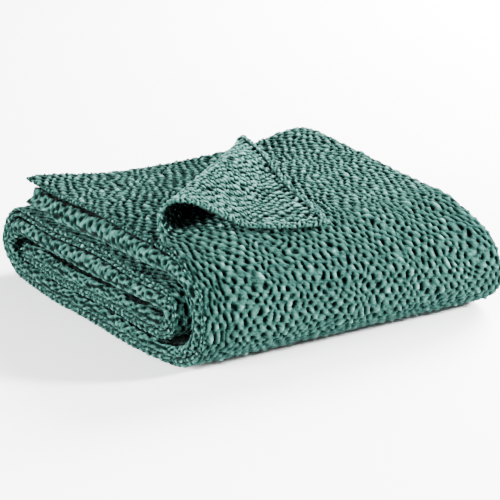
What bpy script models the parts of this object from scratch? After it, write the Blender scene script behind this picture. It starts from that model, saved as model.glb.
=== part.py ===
"""Folded waffle-weave cotton blanket: one sheet, folded six wide and then rolled up in four runs.

The cloth first folds across its width into six plies (the zigzag). The strip of six plies then
runs along the top, round the front, back along the base, round the back, forward again and once
more inward (the spine). The back left corner of the top ply is turned over towards the front.
Metres, Z up. The origin is at the middle of the base of the folded stack.
"""

import math
from typing import NamedTuple

import bmesh
import bpy
from mathutils import Vector

# Driving sizes of the folded stack
WIDTH = 0.410
HEIGHT = 0.145
CLOTH_THICKNESS = 0.0035
BASE_PITCH = 0.0043

# The zigzag: six plies, numbered by level from the outside of the strip to the inside
PLY_LEVELS = (0, 3, 4, 5, 2, 1)
MIDDLE_LEVEL = 2.5
# Distance from the stack's side to the middle of the fold after each ply, in ply spacings
FOLD_INSETS = (1.5, 1.6, 0.8, 1.5, 1.6)
PLY_STATIONS = (0.0, 0.08, 0.3, 0.6, 0.9, 1.0)
SMALL_FOLD_STEPS = 4
LARGE_FOLD_STEPS = 6
FREE_EDGE_INSET = 0.003

# The turned corner of the top ply, in plan, before the stack is centred
CREASE_FRONT = Vector((0.012, 0.078))
CREASE_BACK = Vector((0.326, 0.376))
CREASE_FRONT_RADIUS = 0.018
CREASE_BACK_RADIUS = 0.008
ROLL_STEPS = 7
DESCENT_STEPS = 4
DESCENT_PER_RADIUS = 4.2
DESCENT_SHORTENING = 0.12
FLAP_CLEARANCE = 0.0050
CORNER_DRAW = Vector((-0.058, -0.088))
DRAW_START_Y = 0.090

# How far the loose end of each level of the top run lies beyond the run's nominal end
LOOSE_END_SHIFTS = (0.0, 0.004, -0.004, -0.010, 0.006, 0.022)
LOOSE_END_LENGTH = 0.110


class Run(NamedTuple):
    """A level stretch of the strip; y and height are those of its middle line."""

    first_y: float
    last_y: float
    height: float
    first_pitch: float
    middle_pitch: float
    last_pitch: float
    steps: int


class Turn(NamedTuple):
    """A half turn between one run and the next."""

    reach: float
    steps: int


class Station(NamedTuple):
    """One place along the spine: a point, its outward direction and the spacing of its plies."""

    y: float
    z: float
    out_y: float
    out_z: float
    pitch: float


BASE_HEIGHT = MIDDLE_LEVEL * BASE_PITCH + CLOTH_THICKNESS / 2.0
RUNS = (
    Run(0.388, 0.075, 0.1185, 0.0074, 0.0090, 0.0066, 7),
    Run(0.075, 0.418, BASE_HEIGHT, BASE_PITCH, BASE_PITCH, BASE_PITCH, 4),
    Run(0.418, 0.088, 0.0720, 0.0062, 0.0072, 0.0055, 5),
    Run(0.088, 0.408, 0.0387, 0.0045, 0.0045, 0.0045, 4),
)
TURNS = (Turn(0.061, 8), Turn(0.030, 6), Turn(0.0170, 5))
BACK_Y = 0.463

# The middle of the settled stack's base, which becomes the origin
STACK_CENTRE = Vector((0.2022, 0.2309))

# Settling of the stack under its own weight
FRONT_INSET = 0.044
BACK_INSET = 0.018
BACK_SAG = 0.042
BACK_SAG_START_Y = 0.22
BACK_SAG_LENGTH = 0.20
BACK_SAG_LEFT_BIAS = 0.45
BACK_DROOP = 0.006
DROOP_START_Z = 0.088
DROOP_EASE = 0.015
FRONT_SAG = 0.045
FRONT_SAG_LENGTH = 0.11
HUMP_RISE = 0.085
HUMP_CENTRE = Vector((0.392, 0.352))
HUMP_SPREAD = 0.060
BASE_SPREAD = 0.009
CORNER_LIFT = 0.0233
CORNER_LIFT_CENTRE = Vector((0.0, 0.410))
CORNER_LIFT_SPREAD = 0.080
CORNER_LIFT_POWER = 4
WAVE_DEPTH = 0.0028

# Radians per metre of the uneven side and front
SIDE_WAVE_ALONG = 33.0
SIDE_WAVE_LEAN = 40.0
SIDE_WAVE_UP = 47.0
SIDE_WAVE_PHASE = 0.5
FRONT_WAVE = 21.0
FRONT_WAVE_PHASE = 0.8

# Cotton
COTTON_COLOUR = (0.165, 0.345, 0.300, 1.0)
COTTON_ROUGHNESS = 0.92


def smooth_step(value):
    """Ease from 0 to 1 as the value goes from 0 to 1."""
    held = min(max(value, 0.0), 1.0)
    return held * held * (3.0 - 2.0 * held)


def blend(first, last, share):
    return first + (last - first) * share


def run_pitch(run, share):
    """Ply spacing along a run, fullest in its middle."""
    swell = math.sin(math.pi * share) ** 2
    ends = blend(run.first_pitch, run.last_pitch, smooth_step(share))
    return blend(ends, run.middle_pitch, swell)


def run_stations(run, side):
    """Stations along a level run whose outside faces up (side 1) or down (side -1)."""
    stations = []
    for step in range(run.steps + 1):
        share = step / run.steps
        y = blend(run.first_y, run.last_y, share)
        stations.append(Station(y, run.height, 0.0, side, run_pitch(run, share)))
    return stations


def turn_stations(turn, before, after, side):
    """Stations round the elliptical half turn between two runs, without its ends."""
    forward = math.copysign(1.0, before.last_y - before.first_y)
    rise = abs(before.height - after.height) / 2.0
    middle = (before.height + after.height) / 2.0
    stations = []
    for step in range(1, turn.steps):
        share = step / turn.steps
        angle = math.pi * share
        y = before.last_y + forward * turn.reach * math.sin(angle)
        z = middle + side * rise * math.cos(angle)
        out_y = forward * math.sin(angle) / turn.reach
        out_z = side * math.cos(angle) / rise
        length = math.hypot(out_y, out_z)
        pitch = blend(before.last_pitch, after.first_pitch, smooth_step(share))
        stations.append(Station(y, z, out_y / length, out_z / length, pitch))
    return stations


def spine_stations():
    """All stations from the loose end of the top run to the inner end of the roll."""
    stations = []
    side = 1.0
    for number, run in enumerate(RUNS):
        stations += run_stations(run, side)
        if number < len(TURNS):
            stations += turn_stations(TURNS[number], run, RUNS[number + 1], side)
            side = -side
    return stations


def zigzag_columns():
    """Columns across the cloth as (kind, ply number, share), from its outer edge to its inner edge."""
    columns = []
    last_ply = len(PLY_LEVELS) - 1
    for ply, level in enumerate(PLY_LEVELS):
        columns += [("ply", ply, share) for share in PLY_STATIONS]
        if ply < last_ply:
            large = abs(level - PLY_LEVELS[ply + 1]) > 1
            steps = LARGE_FOLD_STEPS if large else SMALL_FOLD_STEPS
            columns += [("fold", ply, step / steps) for step in range(1, steps)]
    return columns


def fold_radius(ply):
    """Radius of the fold after a ply, in ply spacings."""
    return abs(PLY_LEVELS[ply] - PLY_LEVELS[ply + 1]) / 2.0


def ply_end(ply, rightward, station):
    """Where the flat part of a ply stops on one side."""
    goes_right = ply % 2 == 0
    fold = ply if goes_right == rightward else ply - 1
    if fold < 0 or fold == len(FOLD_INSETS):
        return FREE_EDGE_INSET
    inset = FOLD_INSETS[fold] * station.pitch
    return WIDTH - inset if rightward else inset


def zigzag_place(column, station):
    """The x and the outward level offset, in spacings, of one column at one station."""
    kind, ply, share = column
    goes_right = ply % 2 == 0
    if kind == "ply":
        start = ply_end(ply, not goes_right, station)
        stop = ply_end(ply, goes_right, station)
        return blend(start, stop, share), MIDDLE_LEVEL - PLY_LEVELS[ply]
    radius = fold_radius(ply)
    centre = MIDDLE_LEVEL - (PLY_LEVELS[ply] + PLY_LEVELS[ply + 1]) / 2.0
    first_side = math.copysign(1.0, PLY_LEVELS[ply + 1] - PLY_LEVELS[ply])
    angle = math.pi * share
    middle = ply_end(ply, goes_right, station)
    bulge = radius * station.pitch * math.sin(angle)
    x = middle + bulge if goes_right else middle - bulge
    return x, centre + first_side * radius * math.cos(angle)


def loose_end_shift(offset):
    """Shift of the loose end at an outward offset from the strip's middle, in spacings."""
    level = MIDDLE_LEVEL - offset
    below = min(int(level), len(LOOSE_END_SHIFTS) - 2)
    return blend(LOOSE_END_SHIFTS[below], LOOSE_END_SHIFTS[below + 1], level - below)


def folded_point(column, station, on_top):
    """A point of the cloth once both folds are made."""
    x, offset = zigzag_place(column, station)
    out = offset * station.pitch
    y = station.y + out * station.out_y
    if on_top:
        nearness = 1.0 - (RUNS[0].first_y - station.y) / LOOSE_END_LENGTH
        y += loose_end_shift(offset) * smooth_step(nearness)
    return Vector((x, y, station.z + out * station.out_z))


def drawn_point(point):
    """A point of the outer top ply after its back left corner is drawn forward and outward."""
    x_share = min(max(point.x / WIDTH, 0.0), 1.0)
    y_share = (point.y - DRAW_START_Y) / (RUNS[0].first_y - DRAW_START_Y)
    drawn = CORNER_DRAW * ((1.0 - x_share) * smooth_step(y_share))
    return Vector((point.x + drawn.x, point.y + drawn.y, point.z))


def top_height(y):
    """Height of the middle of the outer ply along the top run."""
    run = RUNS[0]
    share = min(max((y - run.first_y) / (run.last_y - run.first_y), 0.0), 1.0)
    return run.height + MIDDLE_LEVEL * run_pitch(run, share)


def crease_frame():
    """Directions along the crease and across it, towards the corner."""
    along = (CREASE_BACK - CREASE_FRONT).normalized()
    return along, Vector((-along.y, along.x))


def crease_radius(distance_along):
    """Radius of the rolled crease, larger at the front."""
    length = (CREASE_BACK - CREASE_FRONT).length
    return blend(CREASE_FRONT_RADIUS, CREASE_BACK_RADIUS, distance_along / length)


def turned_point(point):
    """A point of the outer top ply with its corner rolled over the crease and laid down."""
    along, across = crease_frame()
    offset = Vector((point.x, point.y)) - CREASE_FRONT
    run = offset.dot(along)
    past = offset.dot(across)
    if past <= 0.0:
        return point
    radius = crease_radius(run)
    arc = math.pi * radius
    if past < arc:
        angle = past / radius
        sideways = radius * math.sin(angle)
        lift = radius * (1.0 - math.cos(angle))
    else:
        rest = past - arc
        descent = DESCENT_PER_RADIUS * radius
        share = smooth_step(rest / descent)
        lift = blend(2.0 * radius, FLAP_CLEARANCE, share)
        shortening = DESCENT_SHORTENING * min(rest, descent)
        sideways = shortening - rest
    plan = CREASE_FRONT + along * run + across * sideways
    base = top_height(plan.y)
    return Vector((plan.x, plan.y, base + lift))


def settled_point(point):
    """A point of the stack after it has slumped: lower at its ends, drawn in at the top right."""
    x_share = point.x / WIDTH
    z_share = point.z / HEIGHT
    back = smooth_step((point.y - BACK_SAG_START_Y) / BACK_SAG_LENGTH)
    back *= 1.0 - BACK_SAG_LEFT_BIAS * x_share
    front = smooth_step(1.0 - point.y / FRONT_SAG_LENGTH)
    hump = (Vector((point.x, point.y)) - HUMP_CENTRE).length / HUMP_SPREAD
    rise = HUMP_RISE * math.exp(-hump * hump) - BACK_SAG * back - FRONT_SAG * front
    wave_x = math.sin(point.y * SIDE_WAVE_ALONG + point.z * SIDE_WAVE_LEAN)
    wave_x *= math.sin(point.z * SIDE_WAVE_UP + SIDE_WAVE_PHASE)
    wave_y = math.sin(point.x * FRONT_WAVE + FRONT_WAVE_PHASE) * z_share
    inset = blend(FRONT_INSET, BACK_INSET, smooth_step(point.y / BACK_Y))
    low = max(1.0 - z_share, 0.0) ** 2 * math.sin(math.pi * min(max(point.y / BACK_Y, 0.0), 1.0))
    x = point.x - inset * x_share * abs(x_share) * z_share * abs(z_share)
    x += WAVE_DEPTH * wave_x - BASE_SPREAD * low * (1.0 - x_share)
    y = point.y + WAVE_DEPTH * wave_y
    ground = CLOTH_THICKNESS / 2.0
    droop = BACK_DROOP * back * smooth_step((point.z - DROOP_START_Z) / DROOP_EASE)
    z = ground + (point.z - ground) * (1.0 + rise) - droop
    corner = (Vector((point.x, point.y)) - CORNER_LIFT_CENTRE).length / CORNER_LIFT_SPREAD
    z += CORNER_LIFT * math.exp(-corner * corner) * max(z_share, 0.0) ** CORNER_LIFT_POWER
    return Vector((x - STACK_CENTRE.x, y - STACK_CENTRE.y, z))


def crease_cuts():
    """Lines across the corner, as (front point, back point), that let the roll bend smoothly."""
    along, across = crease_frame()
    cuts = []
    for step in range(ROLL_STEPS + 1):
        turn = math.pi * step / ROLL_STEPS
        cuts.append((turn * CREASE_FRONT_RADIUS, turn * CREASE_BACK_RADIUS))
    for step in range(1, DESCENT_STEPS + 1):
        turn = math.pi + DESCENT_PER_RADIUS * step / DESCENT_STEPS
        cuts.append((turn * CREASE_FRONT_RADIUS, turn * CREASE_BACK_RADIUS))
    return [(CREASE_FRONT + across * near, CREASE_BACK + across * far) for near, far in cuts]


def cut_corner(mesh, marker):
    """Divide the marked faces along every crease line."""
    for front, back in crease_cuts():
        faces = [face for face in mesh.faces if face[marker]]
        edges = {edge for face in faces for edge in face.edges}
        verts = {vert for face in faces for vert in face.verts}
        direction = (back - front).normalized()
        bmesh.ops.bisect_plane(
            mesh,
            geom=list(verts) + list(edges) + faces,
            dist=1e-6,
            plane_co=(front.x, front.y, 0.0),
            plane_no=(-direction.y, direction.x, 0.0),
        )


def cloth_mesh():
    """The open middle surface of the whole cloth in its folded place."""
    columns = zigzag_columns()
    stations = spine_stations()
    top_rows = RUNS[0].steps
    top_columns = len(PLY_STATIONS) - 1
    mesh = bmesh.new()
    bmesh.ops.create_grid(mesh, x_segments=len(columns) - 1, y_segments=len(stations) - 1, size=0.5)
    marker = mesh.faces.layers.int.new("top_ply")
    places = {}
    for vert in mesh.verts:
        column = round((vert.co.x + 0.5) * (len(columns) - 1))
        row = round((vert.co.y + 0.5) * (len(stations) - 1))
        places[vert] = (column, row)
    for face in mesh.faces:
        inside = all(places[v][0] <= top_columns and places[v][1] <= top_rows for v in face.verts)
        face[marker] = int(inside)
    for vert, (column, row) in places.items():
        vert.co = folded_point(columns[column], stations[row], row <= top_rows)
        if column <= top_columns and row <= top_rows:
            vert.co = drawn_point(vert.co)
    cut_corner(mesh, marker)
    top_verts = {vert for face in mesh.faces if face[marker] for vert in face.verts}
    for vert in top_verts:
        vert.co = turned_point(vert.co)
    for vert in mesh.verts:
        vert.co = settled_point(vert.co)
    mesh.faces.layers.int.remove(marker)
    return mesh


def cotton_material():
    material = bpy.data.materials.new("teal_cotton")
    material.use_nodes = True
    shader = material.node_tree.nodes["Principled BSDF"]
    shader.inputs["Base Color"].default_value = COTTON_COLOUR
    shader.inputs["Roughness"].default_value = COTTON_ROUGHNESS
    shader.inputs["Metallic"].default_value = 0.0
    return material


def build_blanket(collection):
    mesh = cloth_mesh()
    data = bpy.data.meshes.new("blanket")
    mesh.to_mesh(data)
    mesh.free()
    for polygon in data.polygons:
        polygon.use_smooth = True
    data.materials.append(cotton_material())
    blanket = bpy.data.objects.new("blanket", data)
    collection.objects.link(blanket)
    shell = blanket.modifiers.new("thickness", "SOLIDIFY")
    shell.thickness = CLOTH_THICKNESS
    shell.offset = 0.0
    shell.use_even_offset = False
    return blanket


def main():
    for thing in list(bpy.data.objects):
        bpy.data.objects.remove(thing)
    collection = bpy.data.collections.new("folded_waffle_blanket")
    bpy.context.scene.collection.children.link(collection)
    build_blanket(collection)


main()
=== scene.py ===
"""Looks of the folded waffle-weave blanket: its one cloth in full weave, the studio and the camera.

The cloth is worked out in its own flat terms first: how far across its width, how far along its
length, and how far a point stands off its middle surface. One map then carries such a point into
the folded stack: a zigzag across the width, a rolled strip along the length, the corner of the
top ply turned over, and the settling of the pile. The map repeats the folds of the solid; only
the turned corner comes down a little later than there, so that more of its mouth shows.

Two coordinates name a place on the folded cloth. "across" has the six plies as its even unit
spans and the five side folds between them as its odd ones. "along" has the four level runs of
the rolled strip as its even unit spans and the three turns between them as its odd ones.
"""

import math

import bpy
import numpy as np
from mathutils import Matrix, Vector


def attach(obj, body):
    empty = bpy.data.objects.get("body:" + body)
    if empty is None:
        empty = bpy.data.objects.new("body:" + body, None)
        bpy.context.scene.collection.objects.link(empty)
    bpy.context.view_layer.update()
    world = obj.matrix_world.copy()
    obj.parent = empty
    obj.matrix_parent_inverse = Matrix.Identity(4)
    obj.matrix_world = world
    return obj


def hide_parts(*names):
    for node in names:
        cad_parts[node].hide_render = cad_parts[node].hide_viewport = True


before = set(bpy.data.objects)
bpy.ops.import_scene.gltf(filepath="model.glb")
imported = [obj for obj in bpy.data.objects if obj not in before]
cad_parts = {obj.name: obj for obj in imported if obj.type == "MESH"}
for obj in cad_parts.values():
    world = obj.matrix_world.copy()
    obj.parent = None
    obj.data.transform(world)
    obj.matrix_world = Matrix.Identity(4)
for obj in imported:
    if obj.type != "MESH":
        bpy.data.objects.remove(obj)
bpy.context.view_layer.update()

# ---- the folds of the solid, in metres -------------------------------------------------------
WIDTH = 0.410
HEIGHT = 0.145
BACK_Y = 0.463
STACK_CENTRE = (0.2022, 0.2309)
HALF_THICKNESS = 0.00175

# The zigzag: levels of the six plies from the outside, and each fold's distance from the side
PLY_LEVELS = np.array([0, 3, 4, 5, 2, 1])
FOLD_INSETS = np.array([1.5, 1.6, 0.8, 1.5, 1.6])
MIDDLE_LEVEL = 2.5
FREE_EDGE_INSET = 0.003
NOMINAL_PITCH = 0.006
SEGMENTS = 2 * len(PLY_LEVELS) - 1

# The rolled strip: first y, last y, height, then ply spacing at its start, middle and end
BASE_PITCH = 0.0043
BASE_HEIGHT = MIDDLE_LEVEL * BASE_PITCH + HALF_THICKNESS
RUNS = (
    (0.388, 0.075, 0.1185, 0.0074, 0.0090, 0.0066),
    (0.075, 0.418, BASE_HEIGHT, BASE_PITCH, BASE_PITCH, BASE_PITCH),
    (0.418, 0.088, 0.0720, 0.0062, 0.0072, 0.0055),
    (0.088, 0.408, 0.0387, 0.0045, 0.0045, 0.0045),
)
TURN_REACHES = (0.061, 0.030, 0.0170)
LOOSE_END_Y = RUNS[0][0]
LOOSE_END_SHIFTS = (0.0, 0.004, -0.004, -0.010, 0.006, 0.022)
LOOSE_END_LENGTH = 0.110

# The turned corner. The solid's own descent is 4.2 radii long, with a shortening of 0.12
CREASE_FRONT = np.array([0.012, 0.078])
CREASE_BACK = np.array([0.326, 0.376])
CREASE_FRONT_RADIUS = 0.018
CREASE_BACK_RADIUS = 0.008
DESCENT_PER_RADIUS = 4.8
DESCENT_SHORTENING = 0.105
FLAP_CLEARANCE = 0.0050
CORNER_DRAW = (-0.058, -0.088)
DRAW_START_Y = 0.090

# Settling of the pile
FRONT_INSET = 0.044
BACK_INSET = 0.018
BACK_SAG = 0.042
BACK_SAG_START_Y = 0.22
BACK_SAG_LENGTH = 0.20
BACK_SAG_LEFT_BIAS = 0.45
BACK_DROOP = 0.006
DROOP_START_Z = 0.088
DROOP_EASE = 0.015
FRONT_SAG = 0.045
FRONT_SAG_LENGTH = 0.11
HUMP_RISE = 0.085
HUMP_CENTRE = (0.392, 0.352)
HUMP_SPREAD = 0.060
BASE_SPREAD = 0.009
CORNER_LIFT = 0.0233
CORNER_LIFT_CENTRE = (0.0, 0.410)
CORNER_LIFT_SPREAD = 0.080
CORNER_LIFT_POWER = 4
WAVE_DEPTH = 0.0028
SIDE_WAVE_ALONG = 33.0
SIDE_WAVE_LEAN = 40.0
SIDE_WAVE_UP = 47.0
SIDE_WAVE_PHASE = 0.5
FRONT_WAVE = 21.0
FRONT_WAVE_PHASE = 0.8

# ---- the weave -------------------------------------------------------------------------------
# Lengths are in metres. Heights are in units of a piece's relief, about -1 in the pits and 1 on
# the lumps. A ripple is (size, seed) and a wander is (shift, size, seed).
CELL_ACROSS = 0.0112
CELL_ALONG = 0.0098
RELIEF = 0.0019
COVER_RELIEF = 0.0025
SECOND_PLY_RELIEF = 0.0023
NORMAL_STEP = 0.002
TABLE_TOUCH = 0.0002
TABLE_SAMPLES = 3000
TABLE_END_GAP = 1e-6
COARSE = 0.006

RIPPLE_WAVES = 7
RIPPLE_RATES = (0.6, 1.5)
RIPPLE_PEAK = 3.2
WANDER_ACROSS = ((0.0030, 0.035, 1), (0.0021, 0.015, 5))
WANDER_ALONG = ((0.0042, 0.040, 2), (0.0024, 0.014, 6))
LOTTERY_RATES = (12.9898, 78.233, 37.719)
LOTTERY_GAIN = 43758.5453
PIT_DEPTH_DRAW = 1.0
LUMP_HEIGHT_DRAW = 2.0
PIT_SIZE_DRAW = 3.0

GROUND = 0.12
PIT_BOTTOM = -1.30
SHALLOW_PIT_SHARE = 0.09
SHALLOW_PIT_DEPTH = 0.45
LEAST_PIT_DEPTH = 0.85
PIT_DEPTH_SPREAD = 0.40
PIT_RIM = 0.96
PIT_SIZE_SPREAD = 0.28
PIT_WALL = 0.58
LEAST_LUMP = 0.35
LUMP_SPREAD = 0.50
BIG_LUMP_DRAW = 0.96
BIG_LUMP_EXTRA = 0.40
LUMP_FOOT = 0.10
LUMP_POWER = 1.2
CRUSHED_LUMP = 0.55

# Each pair of heights is for the full cloth of the outer plies and for the crushed cloth inside
CRINKLE = (0.0036, 8)
CRINKLE_HEIGHTS = (0.12, 0.20)
FINE_CRINKLE = (0.0021, 9)
FINE_CRINKLE_HEIGHT = 0.20
RIDGES = (0.0052, 12)
RIDGE_HEIGHTS = (0.22, 0.28)
RIDGE_SHARPNESS = 1.7

# Loose edges: rolled hems with a close, knobbly relief
HEM_RADIUS = 0.0016
HEM_TURN_IN = 0.009
HEM_STEP = 0.0013
SELVEDGE_WIDTH = 0.0045
SELVEDGE_LEVEL = 0.10
SELVEDGE_KNOBS = (0.0040, 11)
SELVEDGE_KNOB_HEIGHT = 0.65
SELVEDGE_GRAIN = (0.0023, 13)
SELVEDGE_GRAIN_HEIGHT = 0.25

# Grooves of the side fold across 7 to 8: under its upper edge, over its lower edge, in its middle.
# They are placed by the coordinate across.
GROOVE_DEPTH = 0.0022
# The colour darkens along these grooves as painted shade, by the amount below
GROOVE_PAINTED_SHADE = 1.1
GROOVE_SLOPE = 0.12
GROOVE_FADE = 0.2
UPPER_GROOVE = (7.85, 8.30)
UPPER_WANDER = (0.04, 0.030, 17)
LOWER_GROOVE = (6.7, 7.07)
LOWER_WANDER = (0.07, 0.030, 19)
LOWER_GROOVE_SHARE = 0.75
MIDDLE_GROOVE = 7.44
MIDDLE_WANDER = (0.10, 0.050, 14)
MIDDLE_GROOVE_WIDTH = 0.055
MIDDLE_GROOVE_LEVEL = 0.55
MIDDLE_UNEVENNESS = (0.45, 0.035, 15)

# Long creases down the front beside its loose left edge; the colour follows their relief as painted
# shade
CREASE_SPACING = 0.0085
CREASE_WANDER = (0.0022, 0.018, 16)
CREASE_POWER = 8
CREASE_REACH = 0.042
CREASE_FADE = 0.016
CREASE_START = 0.90
CREASE_START_EASE = 0.08
CREASE_LEVEL = 0.62
CREASE_UNEVENNESS = (0.38, 0.016, 18)
CREASE_GROUND = 0.15
CREASE_DEPTH = 1.2
CREASE_WEAVE_SHARE = 0.55

# Painted light and shade: how far the painted pit shade and lump highlight follow the relief, and
# how much lighter or darker each part is painted
# Painted shade: the plain cloth between the side folds is coloured dark on the left, plainer on the
# right
HIDDEN_PAINTED_SHADE = -0.35
HIDDEN_SHADE_RIGHT = 0.06
HIDDEN_SPREAD = 0.9
SECOND_PLY_START = 10.0
SECOND_PLY_CONTRAST = 1.10
SECOND_PLY_PAINTED_SHADE = 0.14
TOP_CONTRAST = 1.38
TOP_EASE = 0.15
FRONT_CONTRAST = 0.78
FLAP_CONTRAST = 0.52
FLAP_PAINTED_LIGHT = 0.16
FLAP_EASE = 0.8
LOWER_FRONT_START = 1.25
LOWER_FRONT_EASE = 0.35
LOWER_FRONT_CONTRAST = 0.66
LOWER_FRONT_PAINTED_LIGHT = 0.06
STRONG_CONTRAST_DROP = 0.35


def smooth_step(value):
    held = np.clip(value, 0.0, 1.0)
    return held * held * (3.0 - 2.0 * held)


def blend(first, last, share):
    return first + (last - first) * share


# ---- along the strip -------------------------------------------------------------------------
def run_pitch(run, share):
    """Ply spacing along a run, fullest in its middle."""
    start_pitch, middle_pitch, end_pitch = run[3:]
    swell = np.sin(np.pi * np.clip(share, 0.0, 1.0)) ** 2
    return blend(blend(start_pitch, end_pitch, smooth_step(share)), middle_pitch, swell)


def run_place(number, share):
    """Middle line, outward direction and ply spacing along a level run."""
    run = RUNS[number]
    first_y, last_y, height = run[:3]
    side = 1.0 if number % 2 == 0 else -1.0
    y = blend(first_y, last_y, share)
    level = np.zeros_like(y)
    return y, level + height, level, level + side, run_pitch(run, share)


def turn_place(number, share):
    """Middle line, outward direction and ply spacing round a half turn."""
    first_y, last_y, height, _, _, pitch_before = RUNS[number]
    _, _, next_height, pitch_after, _, _ = RUNS[number + 1]
    reach = TURN_REACHES[number]
    side = 1.0 if number % 2 == 0 else -1.0
    forward = math.copysign(1.0, last_y - first_y)
    rise = abs(height - next_height) / 2.0
    angle = np.pi * share
    y = last_y + forward * reach * np.sin(angle)
    z = (height + next_height) / 2.0 + side * rise * np.cos(angle)
    out_y = forward * np.sin(angle) / reach
    out_z = side * np.cos(angle) / rise
    length = np.hypot(out_y, out_z)
    pitch = blend(pitch_before, pitch_after, smooth_step(share))
    return y, z, out_y / length, out_z / length, pitch


def strip_place(along):
    """The y, z, outward y, outward z and ply spacing at places along the strip."""
    last = len(RUNS) + len(TURN_REACHES) - 1
    span = np.clip(np.floor(along), 0, last).astype(int)
    share = along - span
    result = np.zeros((5,) + along.shape)
    for number in range(last + 1):
        here = span == number
        if here.any():
            place = turn_place if number % 2 else run_place
            result[:, here] = place(number // 2, share[here])
    return result


# ---- across the cloth ------------------------------------------------------------------------
def ply_side(ply, rightward, pitch):
    """Where the flat part of a ply stops on one side of the stack."""
    fold = np.where((ply % 2 == 0) == rightward, ply, ply - 1)
    free = (fold < 0) | (fold >= len(FOLD_INSETS))
    inset = FOLD_INSETS[np.clip(fold, 0, len(FOLD_INSETS) - 1)] * pitch
    return np.where(free, FREE_EDGE_INSET, np.where(rightward, WIDTH - inset, inset))


def zigzag_place(across, pitch):
    """The x and the outward offset, in ply spacings, at places across the cloth."""
    segment = np.clip(np.floor(across), 0, SEGMENTS - 1).astype(int)
    share = across - segment
    ply = segment // 2
    level = PLY_LEVELS[ply]
    next_level = PLY_LEVELS[np.minimum(ply + 1, len(PLY_LEVELS) - 1)]
    goes_right = ply % 2 == 0
    stop = ply_side(ply, goes_right, pitch)
    flat_x = blend(ply_side(ply, ~goes_right, pitch), stop, share)
    radius = np.abs(next_level - level) / 2.0
    turn = np.pi * share
    outward = np.where(goes_right, 1.0, -1.0)
    fold_x = stop + outward * radius * pitch * np.sin(turn)
    middle = MIDDLE_LEVEL - (level + next_level) / 2.0
    fold_offset = middle + np.sign(next_level - level) * radius * np.cos(turn)
    folded = segment % 2 == 1
    return np.where(folded, fold_x, flat_x), np.where(folded, fold_offset, MIDDLE_LEVEL - level)


# ---- the turned corner -----------------------------------------------------------------------
def crease_frame():
    """Directions along the crease and across it towards the turned corner, seen from above."""
    along = (CREASE_BACK - CREASE_FRONT) / np.linalg.norm(CREASE_BACK - CREASE_FRONT)
    return along, np.array([-along[1], along[0]])


def top_height(y):
    """Height of the top ply's middle surface before the pile settles."""
    first_y, last_y, height = RUNS[0][:3]
    share = np.clip((y - first_y) / (last_y - first_y), 0.0, 1.0)
    return height + MIDDLE_LEVEL * run_pitch(RUNS[0], share)


def drawn(x, y):
    """The outer ply's plan after its back left corner is drawn forward and outward."""
    pull = 1.0 - np.clip(x / WIDTH, 0.0, 1.0)
    pull = pull * smooth_step((y - DRAW_START_Y) / (LOOSE_END_Y - DRAW_START_Y))
    return x + CORNER_DRAW[0] * pull, y + CORNER_DRAW[1] * pull


def past_crease(x, y):
    """Distances of a plan point along and beyond the crease, and the crease's radius there."""
    along, across = crease_frame()
    dx, dy = x - CREASE_FRONT[0], y - CREASE_FRONT[1]
    run = dx * along[0] + dy * along[1]
    past = dx * across[0] + dy * across[1]
    length = np.linalg.norm(CREASE_BACK - CREASE_FRONT)
    return run, past, blend(CREASE_FRONT_RADIUS, CREASE_BACK_RADIUS, run / length)


def turned(x, y, z):
    """Points of the outer ply with its corner rolled over the crease and laid down."""
    along, across = crease_frame()
    run, past, radius = past_crease(x, y)
    arc = np.pi * radius
    angle = np.clip(past / radius, 0.0, np.pi)
    rest = np.maximum(past - arc, 0.0)
    descent = DESCENT_PER_RADIUS * radius
    rolled_lift = radius * (1.0 - np.cos(angle))
    laid_lift = blend(2.0 * radius, FLAP_CLEARANCE, smooth_step(rest / descent))
    lift = np.where(rest > 0.0, laid_lift, rolled_lift)
    laid_sideways = DESCENT_SHORTENING * np.minimum(rest, descent) - rest
    sideways = np.where(rest > 0.0, laid_sideways, radius * np.sin(angle))
    new_x = CREASE_FRONT[0] + along[0] * run + across[0] * sideways
    new_y = CREASE_FRONT[1] + along[1] * run + across[1] * sideways
    new_z = top_height(new_y) + lift
    over = past > 0.0
    return np.where(over, new_x, x), np.where(over, new_y, y), np.where(over, new_z, z)


# ---- settling and the whole map --------------------------------------------------------------
def settled(x, y, z):
    """The pile after it has slumped: lower at its ends, drawn in at the top right."""
    x_share, z_share = x / WIDTH, z / HEIGHT
    back = smooth_step((y - BACK_SAG_START_Y) / BACK_SAG_LENGTH)
    back = back * (1.0 - BACK_SAG_LEFT_BIAS * x_share)
    front = smooth_step(1.0 - y / FRONT_SAG_LENGTH)
    hump = ((x - HUMP_CENTRE[0]) ** 2 + (y - HUMP_CENTRE[1]) ** 2) / HUMP_SPREAD**2
    rise = HUMP_RISE * np.exp(-hump) - BACK_SAG * back - FRONT_SAG * front
    wave_x = np.sin(y * SIDE_WAVE_ALONG + z * SIDE_WAVE_LEAN)
    wave_x = wave_x * np.sin(z * SIDE_WAVE_UP + SIDE_WAVE_PHASE)
    wave_y = np.sin(x * FRONT_WAVE + FRONT_WAVE_PHASE) * z_share
    inset = blend(FRONT_INSET, BACK_INSET, smooth_step(y / BACK_Y))
    bulge = np.sin(np.pi * np.clip(y / BACK_Y, 0.0, 1.0))
    low = np.maximum(1.0 - z_share, 0.0) ** 2 * bulge
    new_x = x - inset * x_share * np.abs(x_share) * z_share * np.abs(z_share)
    new_x = new_x + WAVE_DEPTH * wave_x - BASE_SPREAD * low * (1.0 - x_share)
    droop = BACK_DROOP * back * smooth_step((z - DROOP_START_Z) / DROOP_EASE)
    new_z = HALF_THICKNESS + (z - HALF_THICKNESS) * (1.0 + rise) - droop
    corner = (x - CORNER_LIFT_CENTRE[0]) ** 2 + (y - CORNER_LIFT_CENTRE[1]) ** 2
    lift = CORNER_LIFT * np.exp(-corner / CORNER_LIFT_SPREAD**2)
    new_z = new_z + lift * np.maximum(z_share, 0.0) ** CORNER_LIFT_POWER
    return new_x - STACK_CENTRE[0], y + WAVE_DEPTH * wave_y - STACK_CENTRE[1], new_z


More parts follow.
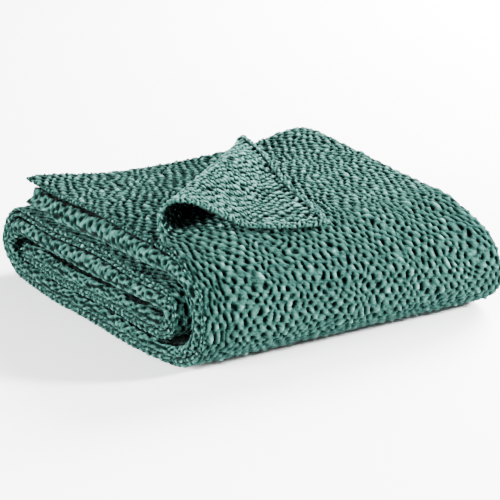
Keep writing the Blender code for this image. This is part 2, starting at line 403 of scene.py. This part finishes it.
def folded(across, along):
    """The cloth's middle surface in the folded stack, from its two unit-span coordinates."""
    y0, z0, out_y, out_z, pitch = strip_place(along)
    x, offset = zigzag_place(across, pitch)
    out = offset * pitch
    y, z = y0 + out * out_y, z0 + out * out_z
    nearness = 1.0 - (LOOSE_END_Y - y0) / LOOSE_END_LENGTH
    shift = np.interp(MIDDLE_LEVEL - offset, np.arange(len(LOOSE_END_SHIFTS)), LOOSE_END_SHIFTS)
    y = y + np.where(along < 1.0, shift * smooth_step(nearness), 0.0)
    outer_top = (across < 1.0) & (along < 1.0)
    drawn_x, drawn_y = drawn(x, y)
    x, y = np.where(outer_top, drawn_x, x), np.where(outer_top, drawn_y, y)
    turned_x, turned_y, turned_z = turned(x, y, z)
    x = np.where(outer_top, turned_x, x)
    y = np.where(outer_top, turned_y, y)
    z = np.where(outer_top, turned_z, z)
    return np.stack(settled(x, y, z), axis=-1)


def cloth_points(across, along, stand_off):
    """Points that stand off the middle surface by a signed distance along its normal."""
    side = folded(across + NORMAL_STEP, along) - folded(across - NORMAL_STEP, along)
    ahead = folded(across, along + NORMAL_STEP) - folded(across, along - NORMAL_STEP)
    normal = np.cross(ahead, side)
    normal /= np.linalg.norm(normal, axis=-1, keepdims=True)
    points = folded(across, along) + normal * stand_off[..., None]
    points[..., 2] = np.maximum(points[..., 2], TABLE_TOUCH)
    return points


# ---- flat cloth coordinates ------------------------------------------------------------------
def across_lengths():
    """Flat distance from the outer ply's loose side to the start of every span across."""
    lengths = [0.0]
    for segment in range(SEGMENTS):
        if segment % 2:
            radius = abs(PLY_LEVELS[segment // 2 + 1] - PLY_LEVELS[segment // 2]) / 2.0
            lengths.append(lengths[-1] + math.pi * radius * NOMINAL_PITCH)
        else:
            lengths.append(lengths[-1] + WIDTH - MIDDLE_LEVEL * NOMINAL_PITCH)
    return np.array(lengths)


def along_lengths():
    """A fine table of the strip's coordinate and the outer ply's flat distance along it."""
    spans = len(RUNS) + len(TURN_REACHES)
    along = np.linspace(0.0, spans - TABLE_END_GAP, TABLE_SAMPLES)
    y, z, out_y, out_z, pitch = strip_place(along)
    outer = np.stack([y + MIDDLE_LEVEL * pitch * out_y, z + MIDDLE_LEVEL * pitch * out_z])
    steps = np.hypot(*np.diff(outer, axis=1))
    return along, np.concatenate([[0.0], np.cumsum(steps)])


ACROSS_PLACES, ACROSS_LENGTHS = np.arange(SEGMENTS + 1), across_lengths()
ALONG_PLACES, ALONG_LENGTHS = along_lengths()


# ---- relief of the weave ---------------------------------------------------------------------
def ripple(u, v, size, seed):
    """A smooth, repeatable unevenness from -1 to 1 with bumps of about the given size."""
    rng = np.random.default_rng(seed)
    total = np.zeros(np.broadcast(u, v).shape)
    for _ in range(RIPPLE_WAVES):
        angle, phase = rng.uniform(0.0, 2.0 * np.pi, 2)
        rate = np.pi / size * rng.uniform(*RIPPLE_RATES)
        total += np.sin((u * math.cos(angle) + v * math.sin(angle)) * rate + phase)
    return total / RIPPLE_PEAK


def wandered(place, u, v, *wanders):
    """A place shifted by ripples that are given as (shift, size, seed)."""
    for shift, size, seed in wanders:
        place = place + shift * ripple(u, v, size, seed)
    return place


def lottery(i, j, seed):
    """A repeatable random share from 0 to 1 for a cell of the weave."""
    rate_i, rate_j, rate_seed = LOTTERY_RATES
    mixed = np.sin(i * rate_i + j * rate_j + seed * rate_seed) * LOTTERY_GAIN
    return mixed - np.floor(mixed)


def weave_crinkle(u, v, crush):
    """The small folds and ridges that lie over the cells."""
    coarse = blend(*CRINKLE_HEIGHTS, crush) * ripple(u, v, *CRINKLE)
    fine = FINE_CRINKLE_HEIGHT * (1.0 - crush) * ripple(u, v, *FINE_CRINKLE)
    ridge = 1.0 - RIDGE_SHARPNESS * np.abs(ripple(u, v, *RIDGES))
    return coarse + fine + blend(*RIDGE_HEIGHTS, crush) * ridge


def weave_relief(u, v, crush):
    """Height of the waffle weave; crush is 1 where it is crushed and 0 on the outer plies."""
    a = wandered(u, u, v, *WANDER_ACROSS) / CELL_ACROSS
    b = wandered(v, u, v, *WANDER_ALONG) / CELL_ALONG
    wave = np.cos(2.0 * np.pi * a) * np.cos(np.pi * b)
    row = np.round(b)
    odd = np.mod(row, 2.0)
    pit_column = np.round(a - 0.5 * (1.0 - odd))
    lump_column = np.round(a - 0.5 * odd)
    pit_draw = lottery(pit_column, row, PIT_DEPTH_DRAW)
    lump_draw = lottery(lump_column, row, LUMP_HEIGHT_DRAW)
    usual_depth = LEAST_PIT_DEPTH + PIT_DEPTH_SPREAD * pit_draw
    pit_depth = np.where(pit_draw < SHALLOW_PIT_SHARE, SHALLOW_PIT_DEPTH, usual_depth)
    extra_height = np.where(lump_draw > BIG_LUMP_DRAW, BIG_LUMP_EXTRA, 0.0)
    lump_height = LEAST_LUMP + LUMP_SPREAD * lump_draw + extra_height
    pit_size = PIT_SIZE_SPREAD * lottery(pit_column, row, PIT_SIZE_DRAW)
    out_of_pit = smooth_step((wave + PIT_RIM - pit_size) / PIT_WALL)
    lump = np.clip(wave + LUMP_FOOT, 0.0, 1.0) ** LUMP_POWER
    lump = lump * lump_height * blend(1.0, CRUSHED_LUMP, crush)
    cells = blend(PIT_BOTTOM * pit_depth, GROUND, out_of_pit) + lump
    return cells + weave_crinkle(u, v, crush)


def selvedge_relief(u, v):
    """The close, knobbly relief of the loose edges."""
    knobs = SELVEDGE_KNOB_HEIGHT * ripple(u, v, *SELVEDGE_KNOBS)
    return SELVEDGE_LEVEL + knobs + SELVEDGE_GRAIN_HEIGHT * ripple(u, v, *SELVEDGE_GRAIN)


def groove_drop(across, v):
    """How far the cloth sinks along the grooves of its side fold, from 0 to 1."""
    level = 0.0 * v
    rise = wandered(UPPER_GROOVE[0], v, level, UPPER_WANDER)
    upper = smooth_step((across - rise) / GROOVE_SLOPE)
    upper = upper * smooth_step((UPPER_GROOVE[1] - across) / GROOVE_FADE)
    fall = wandered(LOWER_GROOVE[1], v, level, LOWER_WANDER)
    lower = smooth_step((fall - across) / GROOVE_SLOPE)
    lower = lower * smooth_step((across - LOWER_GROOVE[0]) / GROOVE_FADE)
    centre = wandered(MIDDLE_GROOVE, v, level, MIDDLE_WANDER)
    middle = np.exp(-(((across - centre) / MIDDLE_GROOVE_WIDTH) ** 2))
    middle = middle * wandered(MIDDLE_GROOVE_LEVEL, v, level, MIDDLE_UNEVENNESS)
    return np.maximum(np.maximum(upper, LOWER_GROOVE_SHARE * lower), middle)


def edge_creases(u, v, along, relief):
    """The relief with the long creases that run down the front beside the loose left edge."""
    place = wandered(u, u, v, CREASE_WANDER)
    groove = np.abs(np.cos(np.pi * place / CREASE_SPACING)) ** CREASE_POWER
    share = smooth_step((CREASE_REACH - u) / CREASE_FADE)
    share = share * smooth_step((along - CREASE_START) / CREASE_START_EASE)
    share = share * wandered(CREASE_LEVEL, u, v, CREASE_UNEVENNESS)
    creased = CREASE_GROUND - CREASE_DEPTH * groove + CREASE_WEAVE_SHARE * relief
    return blend(relief, creased, share)


# ---- painted light and shade that follow the relief ------------------------------------------
def past_crease_share(across, along):
    """How far a point of the outer top ply is beyond the crease: 1 on the turned corner."""
    y, _, _, _, pitch = strip_place(along)
    x, _ = zigzag_place(across, pitch)
    _, past, radius = past_crease(*drawn(x, y))
    share = smooth_step(past / (FLAP_EASE * radius))
    return np.where((across < 1.0) & (along < 1.0), share, 0.0)


def hidden_shade(across):
    """Painted shade on the plain cloth between the side folds, less of it on the right."""
    left_to_right = HIDDEN_SPREAD - HIDDEN_SPREAD * np.cos(0.5 * np.pi * (across + 0.5))
    return blend(HIDDEN_PAINTED_SHADE, HIDDEN_SHADE_RIGHT, smooth_step(left_to_right))


def shade_contrast(across, along):
    """How strongly the painted pit shade and lump highlight show on the outer plies, lower front
    aside.
    """
    on_top = smooth_step((1.0 - along) / TOP_EASE)
    on_second_ply = 1.0 * (across > SECOND_PLY_START)
    top = blend(TOP_CONTRAST, SECOND_PLY_CONTRAST, on_second_ply)
    return blend(FRONT_CONTRAST, top, on_top) + FLAP_CONTRAST * past_crease_share(across, along)


def outer_painted_light_and_shade(relief, across, along, loose):
    """The relief that colours the outer plies, with painted light and shade for each part."""
    lower_front = smooth_step((along - LOWER_FRONT_START) / LOWER_FRONT_EASE)
    contrast = blend(shade_contrast(across, along), 1.0, loose)
    contrast = blend(contrast, LOWER_FRONT_CONTRAST, lower_front)
    # Painted light on the turned corner and the lower front, painted shade on the second ply
    lift = FLAP_PAINTED_LIGHT * past_crease_share(across, along)
    lift = lift - SECOND_PLY_PAINTED_SHADE * (across > SECOND_PLY_START) + LOWER_FRONT_PAINTED_LIGHT * lower_front
    ground = GROUND - STRONG_CONTRAST_DROP * np.maximum(contrast - 1.0, 0.0) + lift
    return ground + (relief - GROUND) * contrast


# ---- making the pieces -----------------------------------------------------------------------
# Columns across the cloth as (first place, last place, step in metres); coarse ones stay plain
COVER_COLUMNS = ((0.0, 1.5, 0.00135),)
INSIDE_COLUMNS = (
    (1.5, 2.04, 0.0024),
    (2.04, 3.0, 0.030),
    (3.0, 4.0, 0.0016),
    (4.0, 4.96, 0.030),
    (4.96, 6.04, 0.0017),
    (6.04, 6.97, 0.030),
    (6.97, 8.03, 0.0017),
    (8.03, 8.96, 0.030),
    (8.96, 10.0, 0.0017),
)
PLY_END_COLUMNS = ((1.5, 10.2, 0.0026),)
SECOND_COLUMNS = ((10.2, 11.0, 0.0015),)
HIDDEN_SECOND_COLUMNS = ((10.0, 10.93, 0.030), (10.93, 11.0, 0.0018))
TOP_INSIDE_COLUMNS = INSIDE_COLUMNS + ((10.0, 10.2, 0.030),)
FRONT_INSIDE_COLUMNS = INSIDE_COLUMNS + HIDDEN_SECOND_COLUMNS
BASE_COLUMNS = ((0.0, 1.5, 0.0026),) + FRONT_INSIDE_COLUMNS
CORE_COLUMNS = ((0.0, 0.07, 0.0018), (0.07, 1.0, 0.030), (1.0, 1.5, 0.0024)) + FRONT_INSIDE_COLUMNS

# The cloth's patches: name, columns, first and last place along, step along in metres, loose
# sides, relief in metres, and whether the weave is crushed
PIECES = (
    ("blanket_top", COVER_COLUMNS, (0.0, 1.0), 0.0014, ("left", "start"), COVER_RELIEF, False),
    ("blanket_front", COVER_COLUMNS, (1.0, 2.0), 0.0014, ("left",), COVER_RELIEF, False),
    (
        "blanket_second_ply",
        SECOND_COLUMNS,
        (0.0, 1.0),
        0.0016,
        ("right", "start"),
        SECOND_PLY_RELIEF,
        False,
    ),
    ("blanket_ply_ends", PLY_END_COLUMNS, (0.0, 0.08), 0.0018, ("start",), RELIEF, True),
    ("blanket_top_inside", TOP_INSIDE_COLUMNS, (0.08, 1.0), 0.0020, (), RELIEF, True),
    ("blanket_front_inside", FRONT_INSIDE_COLUMNS, (1.0, 2.0), 0.0020, ("right",), RELIEF, True),
    ("blanket_base", BASE_COLUMNS, (2.0, 4.25), 0.0024, ("left", "right"), RELIEF, True),
    ("blanket_core", CORE_COLUMNS, (4.25, 6.999), 0.0022, ("left", "right", "end"), RELIEF, True),
)

# Which face of the cloth shows, 1 or -1, by the place across
FACE_TURNS = (
    (0.0, 1.0),
    (2.9, 1.0),
    (2.95, -1.0),
    (4.05, -1.0),
    (4.1, 1.0),
    (8.9, 1.0),
    (8.95, -1.0),
)


def face_side(across):
    """1 where the cloth's first face shows, -1 where its other face shows."""
    places, sides = zip(*FACE_TURNS)
    return np.interp(across, places, sides)


def spaced(first, last, step):
    """Even steps between two flat distances, without the last one."""
    count = max(int(round(abs(last - first) / step)), 1)
    return np.linspace(first, last, count, endpoint=False)


def columns_across(spans):
    """Flat distances of the columns across the cloth, and 1 or 0 for relief or none on each."""
    distances, shares = [], []
    for first_place, last_place, step in spans:
        first, last = np.interp((first_place, last_place), ACROSS_PLACES, ACROSS_LENGTHS)
        part = spaced(first, last, step)
        distances.append(part)
        shares.append(np.full(part.shape, 1.0 if step < COARSE else 0.0))
    distances.append([last])
    shares.append([shares[-1][-1]])
    return np.concatenate(distances), np.concatenate(shares)


def hem_places(edge, inward):
    """Pattern distances, sheet distances and drops of a hem rolled under beyond a loose edge."""
    steps = int((np.pi * HEM_RADIUS + HEM_TURN_IN) / HEM_STEP)
    run = np.arange(1, steps) * HEM_STEP
    turn = np.clip(run / HEM_RADIUS, 0.0, np.pi)
    rest = np.maximum(run - np.pi * HEM_RADIUS, 0.0)
    sheet = edge - inward * (HEM_RADIUS * np.sin(turn) - rest)
    return edge - inward * run, sheet, HEM_RADIUS * (1.0 - np.cos(turn))


def axis_places(distances, start_hem, end_hem):
    """Joins an axis with its hems: pattern distance, sheet distance and hem drop."""
    pattern, sheet, drop = distances, distances, np.zeros_like(distances)
    if start_hem:
        far, laid, fallen = hem_places(distances[0], 1.0)
        pattern = np.concatenate([far[::-1], pattern])
        sheet = np.concatenate([laid[::-1], sheet])
        drop = np.concatenate([fallen[::-1], drop])
    if end_hem:
        far, laid, fallen = hem_places(distances[-1], -1.0)
        pattern = np.concatenate([pattern, far])
        sheet = np.concatenate([sheet, laid])
        drop = np.concatenate([drop, fallen])
    return pattern, sheet, drop


def place_at(distance, lengths, places):
    """The place at a flat distance, carrying on in a straight line past the cloth's edges."""
    found = np.interp(distance, lengths, places)
    low_rate = (places[1] - places[0]) / (lengths[1] - lengths[0])
    high_rate = (places[-1] - places[-2]) / (lengths[-1] - lengths[-2])
    before = places[0] + (distance - lengths[0]) * low_rate
    found = np.where(distance < lengths[0], before, found)
    past = places[-1] + (distance - lengths[-1]) * high_rate
    return np.where(distance > lengths[-1], past, found)


def edge_share(flat, distances, start_hem, end_hem):
    """1 at a loose edge and beyond it, 0 a few millimetres inside it."""
    inside = np.ones_like(flat)
    from_start = (flat - distances[0]) / SELVEDGE_WIDTH if start_hem else inside
    from_end = (distances[-1] - flat) / SELVEDGE_WIDTH if end_hem else inside
    return smooth_step(1.0 - np.minimum(from_start, from_end))


def surface_area(points):
    side = np.diff(points, axis=1)[:-1]
    ahead = np.diff(points, axis=0)[:, :-1]
    return float(np.linalg.norm(np.cross(side, ahead), axis=-1).sum())


def grid_faces(rows, columns):
    first = (np.arange(rows - 1)[:, None] * columns + np.arange(columns - 1)[None, :]).ravel()
    return np.stack([first, first + 1, first + columns + 1, first + columns], axis=1)


def grid_object(name, points, u, v, relief, material):
    """A smooth sheet object with its flat coordinates and its relief, painted light and shade
    added, stored on it.
    """
    rows, columns = relief.shape
    faces = grid_faces(rows, columns)
    corners = faces.reshape(-1)
    mesh = bpy.data.meshes.new(name)
    mesh.vertices.add(rows * columns)
    mesh.vertices.foreach_set("co", points.reshape(-1))
    mesh.loops.add(faces.size)
    mesh.loops.foreach_set("vertex_index", corners.astype(np.int32))
    mesh.polygons.add(len(faces))
    mesh.polygons.foreach_set("loop_start", np.arange(0, faces.size, 4, dtype=np.int32))
    mesh.polygons.foreach_set("use_smooth", np.ones(len(faces), dtype=bool))
    flat = np.stack([u.reshape(-1), v.reshape(-1)], axis=1)
    layer = mesh.uv_layers.new(name="flat_cloth")
    layer.data.foreach_set("uv", flat[corners].reshape(-1))
    height = mesh.attributes.new("relief", "FLOAT", "POINT")
    height.data.foreach_set("value", relief.reshape(-1))
    mesh.update(calc_edges=True)
    mesh.validate()
    mesh.materials.append(material)
    thing = bpy.data.objects.new(name, mesh)
    bpy.context.scene.collection.objects.link(thing)
    return thing


def add_cloth_piece(material, name, spans, along_range, along_step, loose_sides, height, crushed):
    """One patch of the cloth, with a hem along each of its loose sides."""
    left, right, start, end = (side in loose_sides for side in ("left", "right", "start", "end"))
    across_at, relief_share = columns_across(spans)
    first, last = np.interp(along_range, ALONG_PLACES, ALONG_LENGTHS)
    along_at = np.append(spaced(first, last, along_step), last)
    u, sheet_u, drop_u = axis_places(across_at, left, right)
    v, sheet_v, drop_v = axis_places(along_at, start, end)
    across = place_at(sheet_u, ACROSS_LENGTHS, ACROSS_PLACES)
    along = place_at(sheet_v, ALONG_LENGTHS, ALONG_PLACES)
    across, along = np.broadcast_arrays(across[None, :], along[:, None])
    flat_u, flat_v = np.broadcast_arrays(u[None, :], v[:, None])

    in_relief = np.interp(u, across_at, relief_share)[None, :]
    loose_across = edge_share(flat_u, across_at, left, right)
    loose = np.maximum(loose_across, edge_share(flat_v, along_at, start, end))
    relief = weave_relief(flat_u, flat_v, 1.0 if crushed else 0.0)
    relief = blend(relief, selvedge_relief(flat_u, flat_v), loose)
    if left and not crushed:
        relief = edge_creases(flat_u, flat_v, along, relief)
    groove = groove_drop(across, flat_v)
    facing = face_side(across)
    outward = facing * (1.0 - 2.0 * past_crease_share(across, along))
    stand_off = outward * (height * in_relief) * relief
    stand_off = stand_off - facing * np.maximum(drop_u[None, :], drop_v[:, None])
    stand_off = stand_off - outward * GROOVE_DEPTH * groove * in_relief

    # Painted shade in the colour: dark plain cloth between the side folds, and darker grooves
    shade = blend(hidden_shade(across), relief, in_relief) - GROOVE_PAINTED_SHADE * groove
    if not crushed:
        shade = outer_painted_light_and_shade(shade, across, along, loose)
    points = cloth_points(across, along, stand_off)
    piece = grid_object(name, points, flat_u, flat_v, shade, material)
    area = surface_area(folded(across, along))
    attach(piece, "root")
    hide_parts("blanket")


# ---- finish ----------------------------------------------------------------------------------
# Relief at the dark and the light end of the colours
DARK_RELIEF = -0.95
LIGHT_RELIEF = 0.95
# Teal from painted shade in the pits to painted highlight on the lumps, as (share of the way up,
# colour)
TEAL_WITH_PAINTED_SHADE_AND_HIGHLIGHT = (
    (0.0, (0.0003, 0.002, 0.0015, 1.0)),
    (0.34, (0.0010, 0.005, 0.004, 1.0)),
    (0.52, (0.0060, 0.0215, 0.0175, 1.0)),
    (0.66, (0.0165, 0.0520, 0.0440, 1.0)),
    (0.84, (0.036, 0.098, 0.084, 1.0)),
    (1.0, (0.100, 0.210, 0.186, 1.0)),
)
PATCH_NOISE = {"Scale": 28.0, "Detail": 3.0}
PATCH_RANGE = {"From Min": 0.3, "From Max": 0.7, "To Min": 0.86, "To Max": 1.14}
YARN_NOISE = {"Scale": 420.0, "Detail": 3.0}
YARN_BUMP = {"Strength": 1.0, "Distance": 0.0035}
COTTON_SURFACE = {
    "Roughness": 0.85,
    "Sheen Weight": 0.015,
    "Sheen Roughness": 0.45,
    "Specular IOR Level": 0.0,
}


def set_inputs(node, values):
    for name, value in values.items():
        node.inputs[name].default_value = value


def cotton_material():
    """Teal cotton: painted shade, dark and green, in the pits, painted highlight on the lumps, a
    little uneven.
    """
    material = bpy.data.materials.new("teal_waffle_cotton")
    material.use_nodes = True
    nodes, links = material.node_tree.nodes, material.node_tree.links
    shader = nodes["Principled BSDF"]
    set_inputs(shader, COTTON_SURFACE)

    # The relief attribute brings the painted pit shade and lump highlight into the colour
    height = nodes.new("ShaderNodeAttribute")
    height.attribute_name = "relief"
    spread = nodes.new("ShaderNodeMapRange")
    set_inputs(spread, {"From Min": DARK_RELIEF, "From Max": LIGHT_RELIEF})
    links.new(height.outputs["Fac"], spread.inputs["Value"])
    ramp = nodes.new("ShaderNodeValToRGB")
    stops = ramp.color_ramp.elements
    stops[0].position, stops[0].color = TEAL_WITH_PAINTED_SHADE_AND_HIGHLIGHT[0]
    stops[1].position, stops[1].color = TEAL_WITH_PAINTED_SHADE_AND_HIGHLIGHT[-1]
    for position, colour in TEAL_WITH_PAINTED_SHADE_AND_HIGHLIGHT[1:-1]:
        stops.new(position).color = colour
    links.new(spread.outputs["Result"], ramp.inputs["Fac"])

    flat = nodes.new("ShaderNodeUVMap")
    flat.uv_map = "flat_cloth"
    patches = nodes.new("ShaderNodeTexNoise")
    set_inputs(patches, PATCH_NOISE)
    links.new(flat.outputs["UV"], patches.inputs["Vector"])
    brightness = nodes.new("ShaderNodeMapRange")
    set_inputs(brightness, PATCH_RANGE)
    links.new(patches.outputs["Fac"], brightness.inputs["Value"])
    tint = nodes.new("ShaderNodeHueSaturation")
    links.new(ramp.outputs["Color"], tint.inputs["Color"])
    links.new(brightness.outputs["Result"], tint.inputs["Value"])
    links.new(tint.outputs["Color"], shader.inputs["Base Color"])

    yarn = nodes.new("ShaderNodeTexNoise")
    set_inputs(yarn, YARN_NOISE)
    links.new(flat.outputs["UV"], yarn.inputs["Vector"])
    bump = nodes.new("ShaderNodeBump")
    set_inputs(bump, YARN_BUMP)
    links.new(yarn.outputs["Fac"], bump.inputs["Height"])
    links.new(bump.outputs["Normal"], shader.inputs["Normal"])
    return material


# ---- studio ----------------------------------------------------------------------------------
FLOOR_HALF_SIZE = 6.0
FLOOR_SURFACE = {"Base Color": (0.97, 0.97, 0.97, 1.0), "Roughness": 0.7}
AIR = {"Color": (1.0, 1.0, 1.0, 1.0), "Strength": 0.7}
LIGHT_AIM = Vector((0.0, 0.0, 0.08))
# Area lights as (name, place, size in metres, power in watts)
LIGHTS = (
    ("key", (2.4, 1.0, 1.4), 1.6, 880.0),
    ("front", (1.9, -1.7, 1.2), 0.4, 500.0),
    ("fill", (-2.6, -0.5, 0.7), 0.9, 510.0),
)
CAMERA_AZIMUTH = 33.2
CAMERA_ELEVATION = 18.0
CAMERA_DISTANCE = 2.58
FOCAL_PIXELS = 2200.0
FRAME_PIXELS = 500.0
SENSOR_MM = 36.0
CAMERA_AIM = Vector((0.0, 0.0, 0.065))
AIM_RIGHT = 0.0046
AIM_DOWN = 0.0129


def add_floor():
    material = bpy.data.materials.new("pale_floor")
    material.use_nodes = True
    set_inputs(material.node_tree.nodes["Principled BSDF"], FLOOR_SURFACE)
    corners = [(-1, -1), (1, -1), (1, 1), (-1, 1)]
    mesh = bpy.data.meshes.new("floor")
    mesh.from_pydata(
        [(x * FLOOR_HALF_SIZE, y * FLOOR_HALF_SIZE, 0.0) for x, y in corners], [], [(0, 1, 2, 3)]
    )
    mesh.materials.append(material)
    floor = bpy.data.objects.new("floor", mesh)
    bpy.context.scene.collection.objects.link(floor)


def add_world():
    world = bpy.data.worlds.new("studio_air")
    bpy.context.scene.world = world
    world.use_nodes = True
    set_inputs(world.node_tree.nodes["Background"], AIR)


def add_area_light(name, place, size, power):
    light = bpy.data.lights.new(name, "AREA")
    light.size = size
    light.energy = power
    holder = bpy.data.objects.new(name, light)
    holder.location = place
    direction = LIGHT_AIM - Vector(place)
    holder.rotation_euler = direction.to_track_quat("-Z", "Y").to_euler()
    bpy.context.scene.collection.objects.link(holder)


def add_camera():
    """A long lens that sees the front and the left side from a little above, as in the photo."""
    turn, tilt = math.radians(CAMERA_AZIMUTH), math.radians(CAMERA_ELEVATION)
    right = Vector((math.cos(turn), -math.sin(turn), 0.0))
    level = math.cos(tilt)
    forward = Vector((math.sin(turn) * level, math.cos(turn) * level, -math.sin(tilt)))
    up = right.cross(forward)
    place = CAMERA_AIM + right * AIM_RIGHT - up * AIM_DOWN - forward * CAMERA_DISTANCE
    camera = bpy.data.cameras.new("camera")
    camera.sensor_width = SENSOR_MM
    camera.lens = FOCAL_PIXELS / FRAME_PIXELS * SENSOR_MM
    holder = bpy.data.objects.new("camera", camera)
    axes = Matrix((right, up, -forward)).transposed().to_4x4()
    holder.matrix_world = Matrix.Translation(place) @ axes
    bpy.context.scene.collection.objects.link(holder)
    bpy.context.scene.camera = holder


add_floor()
add_world()
for light in LIGHTS:
    add_area_light(*light)
add_camera()
cotton = cotton_material()
for piece_values in PIECES:
    add_cloth_piece(cotton, *piece_values)
